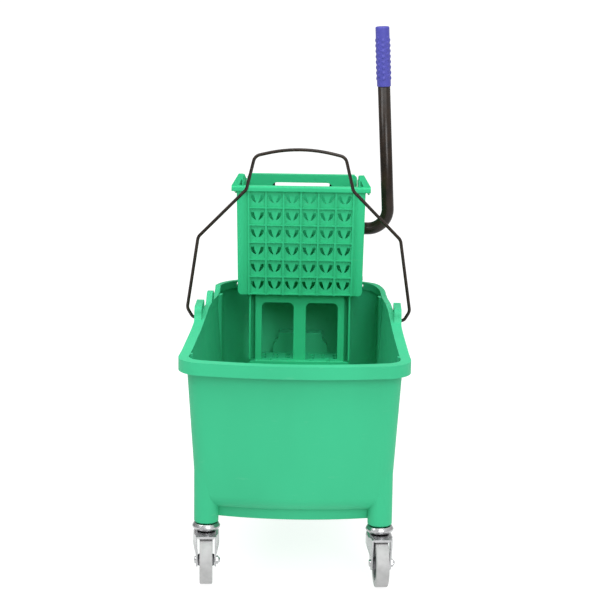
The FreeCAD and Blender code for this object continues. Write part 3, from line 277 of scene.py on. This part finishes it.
def dress_cad_node(name, piece):
    """Material, merged seams, softly rounded edges and smooth shading on a CAD node."""
    piece.data.materials.clear()
    piece.data.materials.append(MATERIALS[SLOT_OF[name]])
    custom = piece.data.attributes.get("custom_normal")
    if custom is not None:
        piece.data.attributes.remove(custom)
    weld = piece.modifiers.new("weld", "WELD")
    weld.merge_threshold = SEAM_GAP
    piece.data.shade_smooth()
    if not any(word in name for word in NEVER_ROUNDED):
        bevel = piece.modifiers.new("rounded_edges", "BEVEL")
        bevel.width = EDGE_ROUNDING.get(name, DEFAULT_ROUNDING)
        bevel.segments = EDGE_SEGMENTS
        bevel.limit_method = "ANGLE"
        bevel.angle_limit = SHARP_ANGLE
        bevel.harden_normals = True
        bevel.use_clamp_overlap = True


def dress_cad_nodes():
    for name, piece in frame["nodes"].items():
        dress_cad_node(name, piece)


# ---- pieces made here -------------------------------------------------------
GRIP_BASE_R = 0.0123        # sleeve under the bumps
BUMP_HIGH = 0.0011
BUMP_R = 0.0031
BUMP_COLUMNS = 8            # round the sleeve; every other column is half a pitch lower
BUMP_PITCH = 0.0095
BUMP_ROWS = 8
GRIP_BORE_R = 0.01105
GRIP_END_WALL = 0.0036      # closed end over the tube
GRIP_TOP_ROUND = 0.0028
GRIP_MOUTH_ROUND = 0.0014
GRIP_END_BAND = 0.004       # how far from an end a point counts as part of it
GRIP_STEPS_ROUND = 128
GRIP_STEP_LONG = 0.0006


def grip_frame():
    """Axis of the CAD grip: its top, its direction downwards and its length, from its vertices."""
    points = [vertex.co.copy() for vertex in frame["nodes"]["lever_grip"].data.vertices]
    top_z = max(point.z for point in points)
    low_z = min(point.z for point in points)
    high = [point for point in points if point.z > top_z - GRIP_END_BAND]
    low = [point for point in points if point.z < low_z + GRIP_END_BAND]
    top = sum(high, Vector()) / len(high)
    bottom = sum(low, Vector()) / len(low)
    down = (bottom - top).normalized()
    reach = [(point - top).dot(down) for point in points]
    return top + down * min(reach), down, max(reach) - min(reach)


def bump_height(along, angle, length):
    """Height of the dimple pattern: domes in staggered columns."""
    pattern = (BUMP_ROWS - 0.5) * BUMP_PITCH
    start = (length - pattern) / 2.0 + BUMP_PITCH * 0.25
    column = angle / (2.0 * math.pi) * BUMP_COLUMNS
    best = 0.0
    for nearest in (math.floor(column), math.floor(column) + 1):
        shift = 0.5 * (nearest % 2)
        row = round((along - start) / BUMP_PITCH - shift)
        if row < 0 or row >= BUMP_ROWS:
            continue
        across = (column - nearest) / BUMP_COLUMNS * 2.0 * math.pi * GRIP_BASE_R
        away = along - start - (row + shift) * BUMP_PITCH
        distance = math.hypot(across, away) / BUMP_R
        if distance < 1.0:
            best = max(best, math.sqrt(1.0 - distance ** 2))
    return best * BUMP_HIGH


def grip_rounding(along, length):
    """How far the sleeve's outside draws in near its two rounded ends."""
    drawn_in = 0.0
    for away, radius in ((along, GRIP_TOP_ROUND), (length - along, GRIP_MOUTH_ROUND)):
        near = max(0.0, 1.0 - away / radius)
        drawn_in += radius * (1.0 - math.sqrt(1.0 - near ** 2))
    return drawn_in


def grip_ring(mesh, centre, side, other, radius_at):
    """One ring of corners round the sleeve; radius_at gives the radius at an angle."""
    ring = []
    for turn in range(GRIP_STEPS_ROUND):
        angle = 2.0 * math.pi * turn / GRIP_STEPS_ROUND
        outward = side * math.cos(angle) + other * math.sin(angle)
        ring.append(mesh.verts.new(centre + outward * radius_at(angle)))
    return ring


def make_grip():
    """Moulded vinyl sleeve with rounded ends and staggered bumps, open at the bottom round the tube."""
    top, down, length = grip_frame()
    side = down.orthogonal().normalized()
    other = down.cross(side)
    steps = int(length / GRIP_STEP_LONG)
    mesh = bmesh.new()
    rings = []
    for step in range(steps + 1):
        along = length * step / steps
        plain_r = GRIP_BASE_R - grip_rounding(along, length)
        rings.append(grip_ring(mesh, top + down * along, side, other,
                               lambda angle: plain_r + bump_height(along, angle, length)))
    for along in (length, GRIP_END_WALL):
        rings.append(grip_ring(mesh, top + down * along, side, other, lambda angle: GRIP_BORE_R))
    for first, second in zip(rings, rings[1:]):
        for turn in range(GRIP_STEPS_ROUND):
            after = (turn + 1) % GRIP_STEPS_ROUND
            mesh.faces.new((first[turn], first[after], second[after], second[turn]))
    mesh.faces.new(rings[0])
    mesh.faces.new(rings[-1])
    bmesh.ops.recalc_face_normals(mesh, faces=mesh.faces)
    data = bpy.data.meshes.new("lever_grip_sleeve")
    mesh.to_mesh(data)
    mesh.free()
    data.shade_smooth()
    piece = bpy.data.objects.new("lever_grip_sleeve", data)
    bpy.context.scene.collection.objects.link(piece)
    data.materials.append(MATERIALS["grip_violet"])
    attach(piece, "lever")
    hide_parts("lever_grip")


# ---- stage ------------------------------------------------------------------
TENT_LOW_Z = 0.05           # the tent's light grows between these heights of the unit direction
TENT_HIGH_Z = 0.75
TENT_LOW = 0.42
TENT_HIGH = 1.10
TENT_LEFT_X = -0.8          # and from left to right between these
TENT_RIGHT_X = 0.6
TENT_LEFT = 0.62
TENT_RIGHT = 1.04
LIGHTS = (                  # name, place, aim, size and watts
    ("key", (1.0, -3.2, 2.3), (0.0, 0.0, 0.35), (1.6, 1.6), 56.0),
    ("top", (0.1, -0.7, 2.8), (0.0, 0.0, 0.3), (2.4, 2.0), 38.0),
    ("inside", (-1.5, -0.8, 2.3), (0.1, 0.0, 0.3), (1.2, 1.2), 24.0),
)
FLOOR_HALF = 40.0
FLOOR_GLOW = 0.84           # the paper floor is lit from below, so only faint shadows show
FLOOR_WHITE = 0.26


def make_floor():
    mesh = bpy.data.meshes.new("studio_floor")
    half = FLOOR_HALF
    corners = [(-half, -half, 0), (half, -half, 0), (half, half, 0), (-half, half, 0)]
    mesh.from_pydata(corners, [], [(0, 1, 2, 3)])
    floor = bpy.data.objects.new("studio_floor", mesh)
    bpy.context.scene.collection.objects.link(floor)
    g = Graph("studio_floor")
    tone = g.noise(scale=1.2, detail=2.0)
    white = (FLOOR_WHITE, FLOOR_WHITE, FLOOR_WHITE)
    g.link(g.mix(tone, white, shade(white, 1.03)), g.shader.inputs["Base Color"])
    g.shader.inputs["Emission Color"].default_value = (1.0, 1.0, 1.0, 1.0)
    g.set(Roughness=0.8, Emission_Strength=FLOOR_GLOW)
    mesh.materials.append(g.material)


def area_light(name, place, aim, size, power):
    data = bpy.data.lights.new(name, "AREA")
    data.shape = "RECTANGLE"
    data.size = size[0]
    data.size_y = size[1]
    data.energy = power
    lamp = bpy.data.objects.new(name, data)
    lamp.location = place
    lamp.rotation_euler = (Vector(aim) - Vector(place)).to_track_quat("-Z", "Y").to_euler()
    bpy.context.scene.collection.objects.link(lamp)


def make_world():
    """A soft tent, brighter overhead and on the lever side."""
    world = bpy.data.worlds.new("studio")
    bpy.context.scene.world = world
    world.use_nodes = True
    tree = world.node_tree
    background = tree.nodes["Background"]
    place = tree.nodes.new("ShaderNodeTexCoord")
    split = tree.nodes.new("ShaderNodeSeparateXYZ")
    fade = tree.nodes.new("ShaderNodeMapRange")
    across = tree.nodes.new("ShaderNodeMapRange")
    set_range(fade, TENT_LOW_Z, TENT_HIGH_Z, TENT_LOW, TENT_HIGH)
    set_range(across, TENT_LEFT_X, TENT_RIGHT_X, TENT_LEFT, TENT_RIGHT)
    both = tree.nodes.new("ShaderNodeMath")
    both.operation = "MULTIPLY"
    tree.links.new(place.outputs["Generated"], split.inputs["Vector"])
    tree.links.new(split.outputs["Z"], fade.inputs["Value"])
    tree.links.new(split.outputs["X"], across.inputs["Value"])
    tree.links.new(fade.outputs["Result"], both.inputs[0])
    tree.links.new(across.outputs["Result"], both.inputs[1])
    tree.links.new(both.outputs["Value"], background.inputs["Color"])


def make_lights():
    make_world()
    for light in LIGHTS:
        area_light(*light)


def make_camera():
    data = bpy.data.cameras.new("camera")
    data.lens = CAMERA_LENS
    data.sensor_width = CAMERA_SENSOR
    data.clip_end = CAMERA_REACH
    camera = bpy.data.objects.new("camera", data)
    turn = (Matrix.Rotation(CAMERA_YAW, 4, "Z") @ Matrix.Rotation(math.radians(90) - CAMERA_PITCH, 4, "X")
            @ Matrix.Rotation(CAMERA_ROLL, 4, "Z"))
    camera.matrix_world = Matrix.Translation(CAMERA_PLACE) @ turn
    bpy.context.scene.collection.objects.link(camera)
    bpy.context.scene.camera = camera


make_camera()
make_lights()
make_floor()
dress_cad_nodes()
make_grip()
bpy.context.scene.view_settings.view_transform = "Standard"
